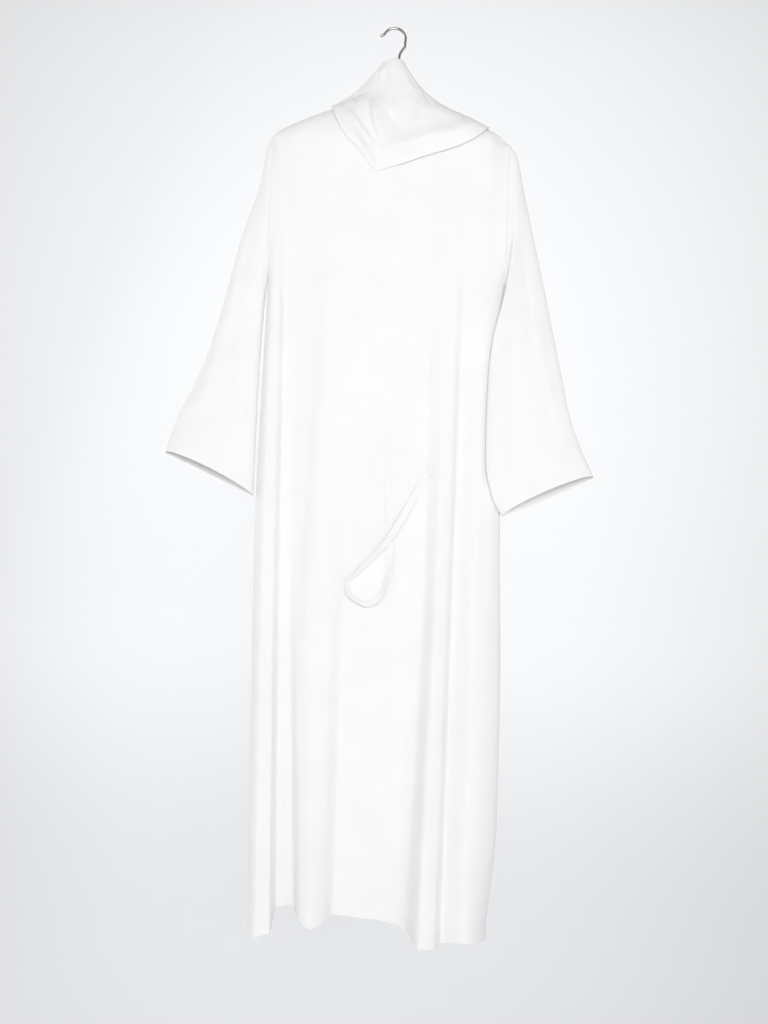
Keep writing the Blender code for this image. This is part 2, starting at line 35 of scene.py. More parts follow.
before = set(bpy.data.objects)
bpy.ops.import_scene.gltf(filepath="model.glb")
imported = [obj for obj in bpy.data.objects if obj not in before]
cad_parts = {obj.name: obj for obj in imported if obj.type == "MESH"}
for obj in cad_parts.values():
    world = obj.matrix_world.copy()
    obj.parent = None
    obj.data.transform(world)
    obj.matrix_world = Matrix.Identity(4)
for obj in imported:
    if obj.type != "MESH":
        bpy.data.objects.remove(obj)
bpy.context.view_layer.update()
print("frame loaded:", len(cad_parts), "nodes")

# What every cloth piece shares.
cloth = {
    "thick": 0.8,          # shell of one layer
    "seam": 0.03,          # half the room left where two pieces are sewn
    "unevenness": 0.35,    # soft ups and downs of the crepe
    "hemTurn": 20,         # height of the turned hem
    "cuffTurn": 24,
    "turnStep": 0.28,      # how far a turned edge stands out
    "turnGroove": 0.35,    # depth of the groove where it is sewn
    "weldWithin": 0.01,    # points nearer than this are one
    "stitchLong": 2.6,
    "stitchGap": 0.9,
    "stitchWide": 0.42,
}

# The cut of the body, the same sizes as the solids have.
body = {
    "fullZ": -198, "underarmZ": -425, "armholeX": 199, "armholeDepth": 14,
    "neckHalf": 88, "frontNeckZ": -202, "backNeckZ": -150,
    "levels": (-200, -500, -820, -1150, -1500),
    "yokeEndZ": -235, "hemStartZ": -1340,
    "ridge": ((0, -106), (45, -116), (88, -134), (125, -148.5), (165, -166), (187, -178), (199, -187)),
    "sideLeft": ((-1500, 195), (-1350, 200), (-1100, 204), (-826, 207), (-600, 203), (-430, 199), (-200, 199)),
    "sideRight": (
        (-1500, 206), (-1423, 213), (-1335, 218), (-1147, 217), (-826, 206), (-600, 202), (-430, 199), (-200, 199),
    ),
    "lowLeft": -1513, "lowRight": -1528,
    "leastFall": 12,       # least height over which the shoulder rounds off
    "edgePast": 12,        # from a side edge to the knot past it
    "underarmBlend": 50,   # height over which the armhole's edge turns into the side seam
}

# Lengthwise folds: x at chest, hip and hem, depth at the five levels, and how low the hem hangs.
foldRow = namedtuple("foldRow", "name xChest xHip xHem chest elbow hip knee hem low")
frontFolds = [foldRow(*row) for row in (
    # name              x                 depth                 low
    ("side crest",      -190, -189, -177, 13, 17, 25, 38, 54, -1517),
    ("left fold edge",  -181, -173, -155, 15, 18, 24, 36, 52, -1511),
    ("left fold foot",  -173, -163, -147, 17, 12, 11, 12, 15, -1482),
    ("left recess",     -155, -147, -121, 20, 13, 12, 13, 16, -1477),
    ("second edge",     -128, -131, -106, 21, 17, 17, 29, 44, -1492),
    ("second tongue",   -88, -97, -89, 25, 25, 28, 37, 52, -1502),
    ("soft fold",       -66, -76, -69, 26, 26, 27, 32, 40, -1499),
    ("left of middle",  -48, -52, -51, 26, 25, 22, 18, 16, -1491),
    ("centre front",    4, 15, 12, 27, 26, 24, 19, 16, -1496),
    ("right of middle", 50, 60, 54, 27, 25, 21, 18, 18, -1502),
    ("right fold foot", 70, 80, 67, 27, 25, 20, 20, 24, -1510),
    ("third tongue",    88, 103, 93, 26, 28, 31, 43, 62, -1525),
    ("third edge",      112, 120, 116, 26, 26, 27, 37, 55, -1526),
    ("deep right fold", 130, 131, 130, 25, 20, 14, 17, 28, -1527),
    ("right panel",     165, 163, 163, 20, 19, 24, 34, 46, -1520),
)]
backFolds = [foldRow(*row) for row in (
    ("left crest",      -165, -168, -158, 14, 16, 17, 19, 24, -1496),
    ("left hollow",     -88, -98, -92, 18, 15, 13, 13, 13, -1486),
    ("middle crest",    -25, -22, -18, 20, 18, 18, 20, 23, -1490),
    ("right hollow",    36, 42, 48, 19, 15, 13, 13, 13, -1486),
    ("right crest",     88, 105, 108, 18, 17, 18, 20, 24, -1494),
    ("side hollow",     165, 168, 166, 14, 14, 13, 13, 14, -1503),
)]
centreSpan = 1 + [fold.name for fold in frontFolds].index("centre front")

# Where clothDepth reads the cloth of the shoulders: heights, and parts in each span.
yokeGrid = {"low": -320, "high": -100, "rows": 45, "parts": 6}


def ease(value):
    value = np.clip(value, 0, 1)
    return value * value * (3 - 2 * value)


def bell(distance, width):
    return np.exp(-((distance / width) ** 2))


def slopesOf(t, p):
    # slopes along the first axis that keep each crest and hollow where it is
    rise = np.diff(p, axis=0) / np.diff(t, axis=0)
    same = rise[:-1] * rise[1:] > 0
    total = np.where(same, rise[:-1] + rise[1:], 1)
    inner = np.where(same, 2 * rise[:-1] * rise[1:] / total, 0)
    return np.concatenate([rise[:1], inner, rise[-1:]])


def cubic(t0, t1, p0, p1, m0, m1, f):
    step = t1 - t0
    start = (2 * f**3 - 3 * f**2 + 1) * p0 + (f**3 - 2 * f**2 + f) * step * m0
    return start + (3 * f**2 - 2 * f**3) * p1 + (f**3 - f**2) * step * m1


def smoothTable(table, at):
    # reads the second column of a table at places in the first, which rises
    t, p = np.array(table, float).T
    slopes = slopesOf(t, p)
    at = np.clip(at, t[0], t[-1])
    k = np.clip(np.searchsorted(t, at, side="right") - 1, 0, len(t) - 2)
    return cubic(t[k], t[k + 1], p[k], p[k + 1], slopes[k], slopes[k + 1], (at - t[k]) / (t[k + 1] - t[k]))


def smoothPath(points, fraction):
    # places at fractions of the length of a smooth curve through the points
    points = np.array(points, float)
    t = np.concatenate([[0], np.cumsum(np.linalg.norm(np.diff(points, axis=0), axis=1))])
    return [smoothTable(np.stack([t, points[:, axis]], 1), fraction * t[-1]) for axis in range(points.shape[1])]


def shoulderLine(x):
    return smoothTable(body["ridge"], np.minimum(np.abs(x), body["armholeX"]))


def shoulderShare(x, z):
    ridge = shoulderLine(x)
    fall = np.maximum(ridge - body["fullZ"], body["leastFall"])
    below = np.clip((ridge - z) / fall, 0, 1)
    return np.sqrt(1 - (1 - below) ** 2)


def armholeDepth(z):
    top = shoulderLine(body["armholeX"])
    share = np.clip((top - z) / (top - body["underarmZ"]), 0, 1)
    return body["armholeDepth"] * 2 * np.sqrt(share * (1 - share))


def sectionKnots(folds, z):
    # x and depth of every fold at the heights z, with the side edges and one knot past each
    levels = body["levels"]
    xs, depths = [], []
    for fold in folds:
        xs.append(smoothTable(((levels[4], fold.xHem), (levels[2], fold.xHip), (levels[0], fold.xChest)), z))
        outwards = (fold.hem, fold.knee, fold.hip, fold.elbow, fold.chest)
        depths.append(smoothTable(list(zip(levels[::-1], outwards)), z))
    edge = armholeDepth(z)
    openShare = ease((z - body["underarmZ"]) / body["underarmBlend"])
    ends = []
    for sign, table in ((-1, body["sideLeft"]), (1, body["sideRight"])):
        x = sign * smoothTable(table, z)
        beyond = body["edgePast"]
        ends.append((x, x + sign * beyond * (2 * openShare - 1), edge - beyond * (1 - openShare)))
    (left, leftPast, leftPastDepth), (right, rightPast, rightPastDepth) = ends
    xs = np.stack([leftPast, left] + xs + [right, rightPast])
    depths = np.stack([leftPastDepth, edge] + depths + [edge, rightPastDepth])
    return xs, depths


def sectionPoint(folds, span, part, z):
    # x and depth at a part of a span, one for each column, at the heights z
    xs, depths = sectionKnots(folds, z)
    steps = np.hypot(np.diff(xs, axis=0), np.diff(depths, axis=0))
    t = np.concatenate([np.zeros((1,) + z.shape), np.cumsum(steps, 0)])
    k = np.broadcast_to(span + 1, z.shape)[None]
    found = []
    for values in (xs, depths):
        slopes = slopesOf(t, values)
        pick = [np.take_along_axis(a, k + step, 0)[0] for a in (t, values, slopes) for step in (0, 1)]
        t0, t1, p0, p1, m0, m1 = pick
        found.append(cubic(t0, t1, p0, p1, m0, m1, part))
    return found


def clothDepth(folds, x, z):
    # depth of a front or back at places, with the slope over the shoulder
    flatX, flatZ = np.ravel(x), np.ravel(z)
    count, parts = len(folds) + 1, yokeGrid["parts"]
    span = np.repeat(np.arange(count), parts)
    part = np.tile(np.arange(parts) / parts, count)
    heights = np.linspace(yokeGrid["low"], yokeGrid["high"], yokeGrid["rows"])
    lines = [sectionPoint(folds, span, part, np.full(span.shape, float(h))) for h in heights]
    rows = np.stack([np.interp(flatX, *line) for line in lines])
    at = np.clip((flatZ - heights[0]) / (heights[1] - heights[0]), 0, len(heights) - 1.001)
    k = at.astype(int)
    depth = rows[k, np.arange(len(k))] * (1 - at + k) + rows[k + 1, np.arange(len(k))] * (at - k)
    depth = np.where(flatZ > shoulderLine(flatX), 0, depth * shoulderShare(flatX, flatZ))
    return depth.reshape(np.shape(x))


def besideLine(x, z, ends, bow):
    # how far along a bowed line places lie, as a share of it, and how far off it
    x0, z0, x1, z1 = ends
    length = math.hypot(x1 - x0, z1 - z0)
    ux, uz = (x1 - x0) / length, (z1 - z0) / length
    along = ((x - x0) * ux + (z - z0) * uz) / length
    off = (x - x0) * -uz + (z - z0) * ux - bow * np.sin(np.pi * np.clip(along, 0, 1))
    return along, off


def endFade(along, past, over):
    # full along a line, and gone a little past its ends
    return ease((along + past) / over) * ease((1 + past - along) / over)


def creaseHeight(x, z, creases):
    # each crease: start x, z, end x, z, width, height (below 0 for a trough), sideways bow
    total = np.zeros(np.shape(x))
    for *ends, width, height, bow in creases:
        along, off = besideLine(x, z, ends, bow)
        total += height * endFade(along, 0.04, 0.3) * np.exp(-np.abs(off / width) ** 1.7)
    return total


def normalsOf(points, closed):
    if closed:
        ring = points[:, :-1]
        across = np.roll(ring, -1, 1) - np.roll(ring, 1, 1)
        across = np.concatenate([across, across[:, :1]], 1)
    else:
        across = np.gradient(points, axis=1)
    normals = np.cross(np.gradient(points, axis=0), across)
    return normals / np.maximum(np.linalg.norm(normals, axis=2, keepdims=True), 1e-9)


def unevenness(points, size, seed):
    flat = points.reshape(-1, 3) / size
    values = [noise.noise((x + seed, y * 0.6, z * 0.45)) for x, y, z in flat]
    return np.array(values).reshape(points.shape[:2])


def withSlack(rise, points, slack, seed):
    # soft ups and downs, from rows of share of the full height, size, and step of the seed
    for share, size, step in slack:
        rise = rise + share * cloth["unevenness"] * unevenness(points, size, seed + step)
    return rise


def withTurnedEdge(rise, fromEdge, turn, grooveWide):
    # one more layer along an edge, and a groove where it is sewn
    turned = 1 - ease((fromEdge - turn + 1) / 2)
    return rise + cloth["turnStep"] * turned - cloth["turnGroove"] * bell(fromEdge - turn, grooveWide)


def weldActive():
    bpy.ops.object.mode_set(mode="EDIT")
    bpy.ops.mesh.select_all(action="SELECT")
    bpy.ops.mesh.remove_doubles(threshold=cloth["weldWithin"] * mm)
    bpy.ops.mesh.normals_make_consistent(inside=False)
    bpy.ops.object.mode_set(mode="OBJECT")


def clothMesh(name, points, closed=False, thick=None):
    # a grid whose points are put in place, with its own flat measure as UV, given a wall
    rows, columns = points.shape[:2]
    bpy.ops.mesh.primitive_grid_add(x_subdivisions=columns - 1, y_subdivisions=rows - 1, size=1, calc_uvs=True)
    piece = bpy.context.object
    piece.name = piece.data.name = name
    mesh = piece.data
    place = np.empty(len(mesh.vertices) * 3)
    mesh.vertices.foreach_get("co", place)
    place = place.reshape(-1, 3)
    column = np.rint((place[:, 0] + 0.5) * (columns - 1)).astype(int)
    row = np.rint((place[:, 1] + 0.5) * (rows - 1)).astype(int)
    mesh.vertices.foreach_set("co", (points[row, column] * mm).ravel())
    stepU = np.linalg.norm(np.diff(points, axis=1), axis=2).mean(0)
    stepV = np.linalg.norm(np.diff(points, axis=0), axis=2).mean(1)
    u = np.concatenate([[0], np.cumsum(stepU)]) * mm
    v = -np.concatenate([[0], np.cumsum(stepV)]) * mm
    corner = np.empty(len(mesh.loops), int)
    mesh.loops.foreach_get("vertex_index", corner)
    mesh.uv_layers[0].data.foreach_set("uv", np.stack([u[column[corner]], v[row[corner]]], 1).ravel())
    mesh.update()
    if closed:
        weldActive()
    wall = piece.modifiers.new("wall", "SOLIDIFY")
    wall.thickness = (thick or cloth["thick"]) * mm
    wall.offset = 0
    bpy.ops.object.modifier_apply(modifier=wall.name)
    bpy.ops.object.shade_smooth_by_angle(angle=math.radians(50))
    return piece


def finishPiece(piece, nodes, material):
    piece.data.materials.clear()
    piece.data.materials.append(material)
    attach(piece, "root")
    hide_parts(*nodes)


# Materials

def newMaterial(name):
    material = bpy.data.materials.new(name)
    material.use_nodes = True
    return material, material.node_tree, material.node_tree.nodes["Principled BSDF"]


def mathNode(tree, operation, first, second):
    node = tree.nodes.new("ShaderNodeMath")
    node.operation = operation
    for socket, value in zip(node.inputs, (first, second)):
        if isinstance(value, (int, float)):
            socket.default_value = value
        else:
            tree.links.new(value, socket)
    return node.outputs[0]


def noiseNode(tree, place, scale, detail):
    grain = tree.nodes.new("ShaderNodeTexNoise")
    grain.inputs["Scale"].default_value = scale
    grain.inputs["Detail"].default_value = detail
    tree.links.new(place, grain.inputs["Vector"])
    return grain


def objectPlace(tree):
    return tree.nodes.new("ShaderNodeTexCoord").outputs["Object"]


def addBump(tree, shader, height, strength, distance):
    bump = tree.nodes.new("ShaderNodeBump")
    bump.inputs["Strength"].default_value = strength
    bump.inputs["Distance"].default_value = distance
    tree.links.new(height, bump.inputs["Height"])
    tree.links.new(bump.outputs["Normal"], shader.inputs["Normal"])


def addTones(tree, shader, share, dark, light, stops=(0, 1)):
    # the base colour runs from a dark to a light tone
    tones = tree.nodes.new("ShaderNodeValToRGB")
    for element, colour, stop in zip(tones.color_ramp.elements, (dark, light), stops):
        element.position = stop
        element.color = (*colour, 1)
    tree.links.new(share, tones.inputs["Fac"])
    tree.links.new(tones.outputs["Color"], shader.inputs["Base Color"])
    return tones.color_ramp


def addRoughness(tree, shader, grain, look):
    # varies by its spread about the middle value
    spread = mathNode(tree, "MULTIPLY", grain.outputs["Fac"], look["spread"])
    rough = mathNode(tree, "ADD", spread, look["roughness"] - look["spread"] / 2)
    tree.links.new(rough, shader.inputs["Roughness"])


crepeLook = {
    "light": (0.890, 0.890, 0.889), "shade": (0.868, 0.868, 0.868), "stops": (0.3, 0.62),
    "roughness": 0.82, "specular": 0.3, "sheen": 0.25, "sheenRoughness": 0.45,
    # spacing of the yarns, share by which the twist bends them, and height of the weave beside the grain
    "yarn": 0.00062, "twist": 0.0011, "twistScale": 420, "weave": 0.55,
    "pebbleScale": 950, "grainHigh": 0.00011, "grainStrength": 0.6, "grainTone": 0.12,
    "cloudScale": 14, "cloudTone": 0.8,
}


def crepeMaterial():
    look = crepeLook
    material, tree, shader = newMaterial("whiteCrepe")
    shader.inputs["Roughness"].default_value = look["roughness"]
    shader.inputs["Sheen Weight"].default_value = look["sheen"]
    shader.inputs["Sheen Roughness"].default_value = look["sheenRoughness"]
    shader.inputs["Specular IOR Level"].default_value = look["specular"]
    uv = tree.nodes.new("ShaderNodeUVMap").outputs["UV"]
    # warp and weft, pulled out of line by the crepe's twist
    twist = noiseNode(tree, uv, look["twistScale"], 2)
    bent = tree.nodes.new("ShaderNodeMix")
    bent.data_type = "VECTOR"
    bent.inputs["Factor"].default_value = look["twist"]
    tree.links.new(uv, bent.inputs["A"])
    tree.links.new(twist.outputs["Color"], bent.inputs["B"])
    bands = []
    for direction in ("X", "Y"):
        band = tree.nodes.new("ShaderNodeTexWave")
        band.bands_direction = direction
        band.wave_profile = "SIN"
        # at a scale of 1 the bands are pi / 10 apart
        band.inputs["Scale"].default_value = math.pi / 10 / look["yarn"]
        tree.links.new(bent.outputs[1], band.inputs["Vector"])
        bands.append(band.outputs["Fac"])
    weave = mathNode(tree, "MULTIPLY", *bands)
    pebble = noiseNode(tree, uv, look["pebbleScale"], 3)
    grain = mathNode(tree, "ADD", mathNode(tree, "MULTIPLY", weave, look["weave"]), pebble.outputs["Fac"])
    addBump(tree, shader, grain, look["grainStrength"], look["grainHigh"])
    # faint clouds of thicker and thinner cloth
    cloud = noiseNode(tree, objectPlace(tree), look["cloudScale"], 4)
    clouds = mathNode(tree, "MULTIPLY", cloud.outputs["Fac"], look["cloudTone"])
    soft = mathNode(tree, "ADD", clouds, mathNode(tree, "MULTIPLY", grain, look["grainTone"]))
    addTones(tree, shader, soft, look["shade"], look["light"], look["stops"])
    return material


threadLook = {
    "light": (0.80, 0.80, 0.80), "shade": (0.72, 0.72, 0.72), "roughness": 0.6, "sheen": 0.3, "plyScale": 1500,
}


def threadMaterial():
    look = threadLook
    material, tree, shader = newMaterial("sewingThread")
    shader.inputs["Roughness"].default_value = look["roughness"]
    shader.inputs["Sheen Weight"].default_value = look["sheen"]
    ply = noiseNode(tree, objectPlace(tree), look["plyScale"], 2)
    addTones(tree, shader, ply.outputs["Fac"], look["shade"], look["light"])
    return material


plasticLook = {
    "colour": (0.80, 0.80, 0.79), "roughness": 0.38, "spread": 0.14, "coat": 0.1,
    "mouldScale": 60, "mouldStrength": 0.2, "mouldHigh": 0.0001,
}


def plasticMaterial():
    look = plasticLook
    material, tree, shader = newMaterial("whitePlastic")
    shader.inputs["Base Color"].default_value = (*look["colour"], 1)
    shader.inputs["Coat Weight"].default_value = look["coat"]
    mould = noiseNode(tree, objectPlace(tree), look["mouldScale"], 5)
    addRoughness(tree, shader, mould, look)
    addBump(tree, shader, mould.outputs["Fac"], look["mouldStrength"], look["mouldHigh"])
    return material


chromeLook = {
    "light": (0.40, 0.405, 0.41), "dull": 0.82, "stops": (0, 0.6), "roughness": 0.14, "spread": 0.16,
    "wearScale": 260,
}


def chromeMaterial():
    look = chromeLook
    material, tree, shader = newMaterial("chromeWire")
    shader.inputs["Metallic"].default_value = 1
    wear = noiseNode(tree, objectPlace(tree), look["wearScale"], 5)
    addRoughness(tree, shader, wear, look)
    shade = [look["dull"] * value for value in look["light"]]
    addTones(tree, shader, wear.outputs["Fac"], shade, look["light"], look["stops"])
    return material


crepe, thread, plastic, chrome = crepeMaterial(), threadMaterial(), plasticMaterial(), chromeMaterial()
print("materials ready")

# Fronts and back

panels = {
    "front_left": {
        "folds": frontFolds, "sign": -1, "neckZ": body["frontNeckZ"], "spans": (0, centreSpan),
        "columns": 112, "seed": 3.1, "flat": (0.49, 1.44), "area": 0.355,
        "creases": (
            (-60, -300, -72, -640, 9, -0.9, 4), (-34, -390, -44, -800, 7, 0.8, -3),
            (-18, -330, -22, -900, 6, -0.7, 3), (-8, -520, -6, -1010, 8, 0.6, -2),
            (-120, -420, -128, -980, 13, -1.1, 6), (-106, -640, -112, -1180, 8, 0.8, -4),
            (-38, -1000, -34, -1440, 12, 1.2, 3), (-14, -1080, -6, -1470, 9, -0.8, -3),
            (-176, -430, -168, -560, 5, -0.9, 3), (-192, -436, -150, -505, 6, -0.9, 6),
            (-140, -900, -137, -1380, 6, 0.9, 2), (-176, -1200, -168, -1480, 5, -0.8, 1),
            (-150, -200, -130, -300, 14, -0.8, 5),
        ),
    },
    "front_right": {
        "folds": frontFolds, "sign": -1, "neckZ": body["frontNeckZ"], "spans": (centreSpan, len(frontFolds) + 1),
        "columns": 112, "seed": 8.4, "flat": (0.42, 1.44), "area": 0.31,
        "creases": (
            (24, -330, 27, -760, 6, -0.8, 3), (38, -420, 44, -860, 7, 0.9, -4),
            (58, -310, 66, -700, 9, -0.9, 3), (84, -560, 92, -940, 6, 0.9, -2),
            (34, -960, 40, -1420, 12, 1.1, 4), (60, -1120, 58, -1460, 6, -0.9, -2),
            (150, -520, 152, -900, 10, 1.0, 3), (178, -620, 184, -1010, 6, -0.8, -3),
            (152, -1010, 148, -1350, 8, -1.0, 4), (186, -1080, 196, -1420, 8, 1.0, -3),
            (190, -436, 158, -500, 6, -0.8, -5), (176, -1262, 160, -1300, 5, 1.2, 1),
            (118, -1170, 122, -1440, 5, 0.8, 1), (150, -210, 132, -300, 12, -0.8, -4),
        ),
    },
    "back": {
        "folds": backFolds, "sign": 1, "neckZ": body["backNeckZ"], "spans": (0, len(backFolds) + 1),
        "columns": 158, "seed": 14.7, "flat": (0.66, 1.42), "area": 0.59,
        "creases": (
            (-150, -260, -160, -760, 10, -2.1, 4), (-128, -420, -134, -980, 7, 1.9, -3),
            (-62, -300, -70, -820, 11, -2.1, 5), (-46, -560, -50, -1180, 8, 2.1, -4),
            (8, -260, 4, -700, 9, 1.9, 3), (20, -640, 22, -1240, 10, -1.9, -3),
            (66, -330, 76, -900, 9, 1.9, 4), (92, -700, 84, -1300, 7, -2.1, 3),
            (138, -300, 142, -860, 10, -2.1, -4), (150, -820, 154, -1380, 8, 1.9, 3),
            (-110, -1000, -118, -1440, 9, 2.3, 3), (-16, -1060, -30, -1450, 7, -1.7, 2),
            (60, -1180, 66, -1450, 8, 2.1, -2), (-192, -436, -146, -520, 7, -1.9, 6),
            (192, -436, 148, -515, 7, -1.9, -6), (-40, -170, 42, -176, 8, 1.5, 3),
        ),
    },
}
rowPlan = {"yoke": 30, "bodyStep": 5.4, "hem": 34}
panelSlack = ((1, 46, 0), (0.5, 17, 5))
seams = {
    # creases and slack reach their full height this far from a seam
    "still": 26, "shoulderRoom": 2, "frontStill": 18, "armholeStill": 24,
    "shoulderDip": 0.25, "shoulderDipWide": 2.2,
    "armholeDip": 0.4, "armholeDipWide": 2.5, "armholeDipFrom": 3,
    # the centre front is pressed less below a height
    "frontDip": 0.6, "frontDipWide": 1.8, "frontRidge": 0.9, "frontRidgeWide": 7,
    "pressedTo": -880, "pressedFade": 120, "unpressed": 0.25,
    "hemGrooveWide": 1.3, "cuffGrooveWide": 1.5,
}


def panelColumns(panel):
    # span and part of each column, shared out by the width of each span
    folds, (first, last) = panel["folds"], panel["spans"]
    reach = [-body["armholeX"]] + [fold.xHip for fold in folds] + [body["armholeX"]]
    depth = [0] + [fold.knee for fold in folds] + [0]
    wide = [math.hypot(reach[k + 1] - reach[k], depth[k + 1] - depth[k]) for k in range(first, last)]
    counts = [max(3, round(panel["columns"] * w / sum(wide))) for w in wide]
    pairs = [(first + k, i / count) for k, count in enumerate(counts) for i in range(count)]
    pairs.append((last - 1, 1.0))
    return np.array([pair[0] for pair in pairs]), np.array([pair[1] for pair in pairs])


def panelPoints(panel):
    folds, sign = panel["folds"], panel["sign"]
    span, part = panelColumns(panel)
    xTop = sectionPoint(folds, span, part, np.full(span.shape, float(body["levels"][0])))[0]
    neck = np.clip(1 - (xTop / body["neckHalf"]) ** 2, 0, 1)
    atNeck = shoulderLine(body["neckHalf"])
    neckline = atNeck + (panel["neckZ"] - atNeck) * neck
    start = np.where(np.abs(xTop) >= body["neckHalf"], shoulderLine(xTop), neckline)
    lows = np.array([body["lowLeft"]] + [fold.low for fold in folds] + [body["lowRight"]], float)
    low = lows[span] + (lows[span + 1] - lows[span]) * ease(part)
    yoke = 1 - np.cos(np.pi / 2 * np.arange(rowPlan["yoke"]) / rowPlan["yoke"])
    bodyRows = np.arange(body["yokeEndZ"], body["hemStartZ"], -rowPlan["bodyStep"])
    hem = np.linspace(0, 1, rowPlan["hem"])
    z = np.concatenate([
        start + (body["yokeEndZ"] - start) * yoke[:, None],
        np.broadcast_to(bodyRows[:, None], (len(bodyRows), len(span))),
        body["hemStartZ"] + (low - body["hemStartZ"]) * hem[:, None],
    ])
    x, depth = sectionPoint(folds, span, part, z)
    nearSide = np.where(span == 0, 1 - part, 0) + np.where(span == len(folds), part, 0)
    depth = depth * np.maximum(shoulderShare(xTop, z), 1e-6) ** (1 - nearSide)
    points = np.stack([x, sign * (cloth["seam"] + depth), z], 2)
    first, last = panel["spans"]
    if first > 0:
        points[:, 0, 0] += cloth["seam"]
    if last <= len(folds):
        points[:, -1, 0] -= cloth["seam"]
    return points, low


def dressPanel(name, panel):
    points, low = panelPoints(panel)
    outward = normalsOf(points, False)
    outward *= np.sign((outward[..., 1] * panel["sign"]).sum())
    x, z = points[..., 0], points[..., 2]
    rise = creaseHeight(x, z, panel["creases"])
    rise = withSlack(rise, points, panelSlack, panel["seed"])
    # still at the seams, which hold the cloth
    fromRidge = shoulderLine(x) - z
    edge = np.minimum(np.abs(body["armholeX"] - np.abs(x)), fromRidge + seams["shoulderRoom"])
    rise = rise * ease(edge / seams["still"]) - seams["shoulderDip"] * bell(fromRidge, seams["shoulderDipWide"])
    first, last = panel["spans"]
    if first > 0 or last <= len(panel["folds"]):
        off = x - points[:, 0 if first > 0 else -1, 0][:, None]
        upper = ease((z - seams["pressedTo"]) / seams["pressedFade"])
        pressed = seams["unpressed"] + (1 - seams["unpressed"]) * upper
        rise = rise * ease(np.abs(off) / seams["frontStill"])
        rise = rise - seams["frontDip"] * pressed * bell(off, seams["frontDipWide"])
        rise = rise + seams["frontRidge"] * pressed * bell(off, seams["frontRidgeWide"])
    rise = withTurnedEdge(rise, z - low, cloth["hemTurn"], seams["hemGrooveWide"])
    points = points + outward * rise[..., None]
    panel["points"], panel["outward"], panel["fromEdge"] = points, outward, points[..., 2] - low
    return clothMesh(name, points)


for name, panel in panels.items():
    piece = dressPanel(name + "_cloth", panel)
    finishPiece(piece, [name], crepe)
    panel["piece"] = piece
    print(name, "made,", len(piece.data.polygons), "faces")


# Sleeves

sleeves = {
    "sleeve_left": {
        "sign": -1, "forward": 0, "flatBehind": 0, "drop": 0, "seed": 21.3, "flat": (0.52, 0.34), "area": 0.102,
        "outer": (
            (199.1, -187.5), (207, -203), (212, -231), (219, -274), (231, -312), (250, -374),
            (271, -466), (300, -569), (317, -610), (346, -674), (362, -728),
        ),
        "inner": ((199.3, -424.5), (204, -470), (208, -560), (210.5, -660), (211.5, -750), (212, -796)),
        "creases": (
            (215, -300, 262, -640, 12, -1.4, 8), (236, -330, 318, -690, 9, 1.2, -8),
            (204, -430, 240, -700, 9, -1.3, 6), (226, -520, 268, -740, 8, 1.0, -4),
            (300, -600, 330, -650, 11, -2.0, 4), (204, -420, 246, -500, 6, -1.0, -4),
        ),
    },
    "sleeve_right": {
        "sign": 1, "forward": 25, "flatBehind": 0.6, "drop": 4, "seed": 27.9, "flat": (0.55, 0.41), "area": 0.128,
        "outer": (
            (199.1, -187.5), (211, -203), (219, -229), (228, -271), (240, -321), (256, -385),
            (280, -485), (302, -578), (316, -638), (337, -695), (361, -745),
        ),
        "inner": (
            (199.3, -424.5), (202, -444), (194, -476), (181, -520), (176, -580), (175, -650), (176, -722),
            (190, -785), (208, -815),
        ),
        "creases": (
            (208, -262, 234, -268, 4, -0.8, 1), (216, -300, 250, -620, 11, -1.2, 6),
            (202, -440, 214, -760, 9, -1.5, 8), (238, -380, 300, -690, 10, 1.1, -6),
            (196, -480, 190, -720, 6, 1.0, -3), (262, -560, 296, -740, 8, -1.0, 5),
            (186, -734, 205, -800, 5, -1.2, -3),
        ),
    },
}
sleevePlan = {
    "rows": 124, "columns": 128, "rowSpread": 1.25, "cuffDepth": 19,
    "cuffArch": 12, "archFrom": 0.6,
    "hangFull": 0.2, "hangBack": 0.45, "hangBackFrom": 0.8, "hangCurve": 1.5,
    "slack": ((1, 40, 0), (0.5, 15, 5)),
    "behindLower": 18, "behindWider": 1.2, "behindHeight": -0.7, "edgeFade": 0.35,
}


def sleevePoints(sleeve):
    plan = sleevePlan
    down = (np.linspace(0, 1, plan["rows"]) ** plan["rowSpread"])[:, None]
    angle = (2 * np.pi * np.arange(plan["columns"] + 1) / plan["columns"])[None]
    across = (1 - np.cos(angle)) / 2
    xOut, zOut = smoothPath(sleeve["outer"], down)
    xIn, zIn = smoothPath(sleeve["inner"], down)
    half = body["armholeDepth"] + (plan["cuffDepth"] - body["armholeDepth"]) * down
    side = np.sin(angle)
    hang = sleeve["forward"] * ease(down / plan["hangFull"])
    hang = hang * (1 - plan["hangBack"] * ease((down - plan["hangBackFrom"]) / 0.2))
    flatter = 1 - np.where(side < 0, sleeve["flatBehind"] * across, 0)
    y = -half * flatter * side - hang * across ** plan["hangCurve"]
    z = zOut + (zIn - zOut) * across
    arch = np.where(side > 0, plan["cuffArch"], sleeve["drop"])
    z = z + ease((down - plan["archFrom"]) / 0.4) * arch * side
    x = sleeve["sign"] * (xOut + (xIn - xOut) * across)
    return np.stack(np.broadcast_arrays(x, y, z), 2), side


